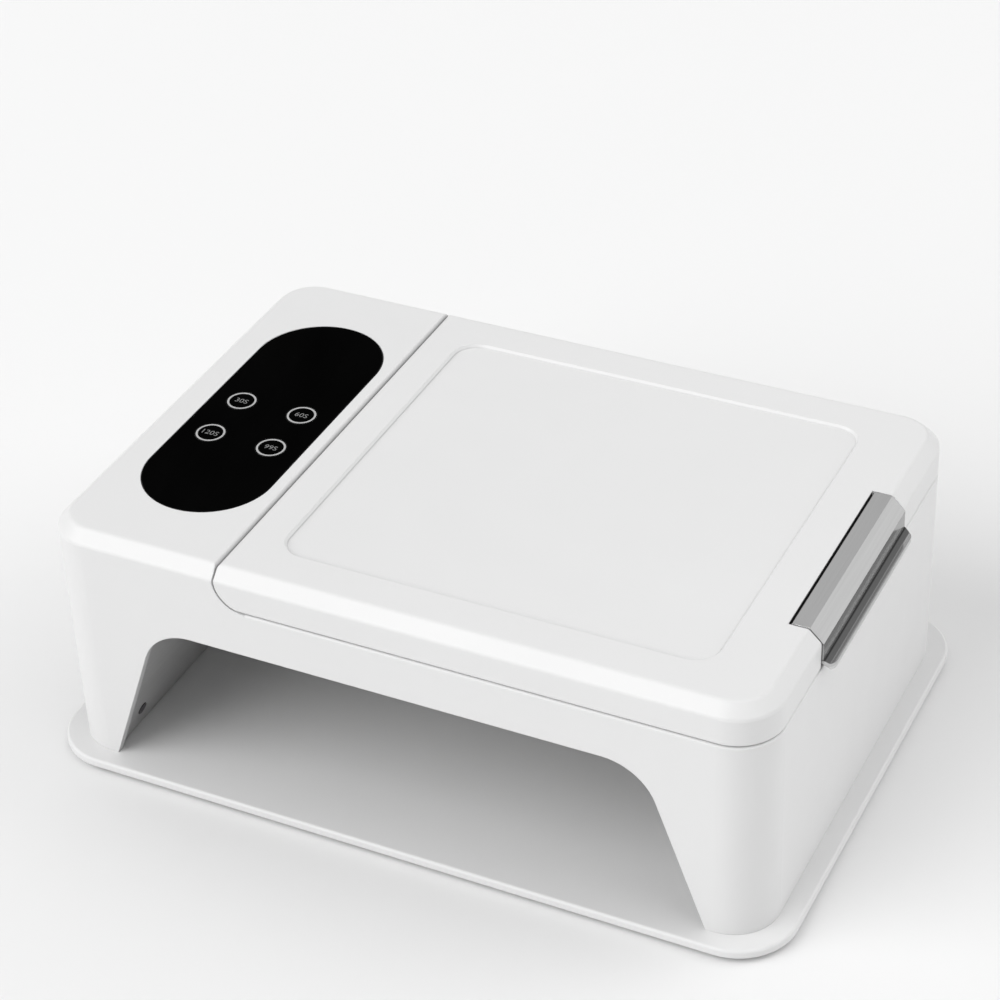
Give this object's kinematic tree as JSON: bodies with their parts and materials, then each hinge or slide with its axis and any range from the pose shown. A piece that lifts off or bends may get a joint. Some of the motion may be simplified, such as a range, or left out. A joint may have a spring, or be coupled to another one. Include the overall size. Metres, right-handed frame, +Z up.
{
  "type": "uv nail lamp",
  "caption": "Bridge-shaped nail-curing lamp standing on a lift-off base plate, with a black capsule key panel, a hinged storage lid and a chrome rocker latch.",
  "frame": {"origin": "middle of the footprint, on the table under the rubber pads", "axes": "+X towards the latch side, the right hand of a user facing the hand opening; -Y out of the hand opening, towards that user; +Z up"},
  "size_m": [0.236, 0.164, 0.0847],
  "materials": {
    "housing_white": "satin white moulded ABS",
    "plate_white": "satin white moulded ABS",
    "inner_white": "fine matte white",
    "tray_grey": "fine matte pale grey",
    "reflector_grey": "satin silver grey",
    "panel_black": "high-gloss black acrylic",
    "latch_chrome": "bright chrome plating",
    "spring_steel": "drawn stainless steel",
    "screw_steel": "zinc-plated steel",
    "magnet_nickel": "nickel-plated magnet",
    "soft_rubber": "matte black elastomer",
    "board_green": "solder-masked board",
    "diode_lens": "clear lens over pale phosphor",
    "sensor_dark": "dark infrared lens",
    "display_black": "black digit display",
    "component_black": "moulded black",
    "lead_jacket": "black PVC lead"
  },
  "bodies": {
    "base_plate": {"base_plate": "plate_white", "plate_magnets": "magnet_nickel", "foot_pads": "soft_rubber"},
    "housing": {"outer_shell": "housing_white", "bottom_frame": "inner_white", "housing_magnets": "magnet_nickel", "frame_screws": "screw_steel", "reflector_liner": "reflector_grey", "led_board": "board_green", "side_led_boards": "board_green", "led_beads": "diode_lens", "sensor_emitter": "sensor_dark", "sensor_receiver": "sensor_dark", "storage_tray": "tray_grey", "control_panel": "panel_black", "control_board": "board_green", "board_screws": "screw_steel", "tact_switches": "component_black", "display_module": "display_black", "driver_board": "board_green", "driver_components": "component_black", "power_jack": "component_black", "control_lead": "lead_jacket", "led_lead": "lead_jacket", "hinge_arms": "inner_white", "arm_screws": "screw_steel", "lid_rest_pads": "soft_rubber", "latch_catch": "spring_steel"},
    "lid": {"lid_outer": "housing_white", "lid_inner": "inner_white", "lid_screws": "screw_steel", "hinge_rod": "spring_steel", "latch_pin": "spring_steel", "latch_spring": "spring_steel"},
    "latch": {"latch_handle": "latch_chrome"},
    "key_30s": {"key_30s": "panel_black"},
    "key_60s": {"key_60s": "panel_black"},
    "key_99s": {"key_99s": "panel_black"},
    "key_120s": {"key_120s": "panel_black"}
  },
  "joints": [
    {"name": "housing_lift", "type": "slide", "parent": "base_plate", "child": "housing", "axis": [0, 0, 1], "range_m": [0, 0.09]},
    {"name": "lid_hinge", "type": "hinge", "parent": "housing", "child": "lid", "pos_m": [-0.045, 0, 0.0812], "axis": [0, -1, 0], "range_deg": [0, 100]},
    {"name": "latch_rock", "type": "hinge", "parent": "lid", "child": "latch", "pos_m": [0.1054, -0.0019, 0.0814], "axis": [0, -1, 0], "range_deg": [0, 14], "stiffness_Nm_per_rad": 0.06, "springref_deg": -11.46},
    {"name": "key_30s_press", "type": "slide", "parent": "housing", "child": "key_30s", "axis": [0, 0, -1], "range_m": [0, 0.0005], "stiffness_N_per_m": 900, "springref_m": -0.0004},
    {"name": "key_60s_press", "type": "slide", "parent": "housing", "child": "key_60s", "axis": [0, 0, -1], "range_m": [0, 0.0005], "stiffness_N_per_m": 900, "springref_m": -0.0004},
    {"name": "key_99s_press", "type": "slide", "parent": "housing", "child": "key_99s", "axis": [0, 0, -1], "range_m": [0, 0.0005], "stiffness_N_per_m": 900, "springref_m": -0.0004},
    {"name": "key_120s_press", "type": "slide", "parent": "housing", "child": "key_120s", "axis": [0, 0, -1], "range_m": [0, 0.0005], "stiffness_N_per_m": 900, "springref_m": -0.0004}
  ]
}
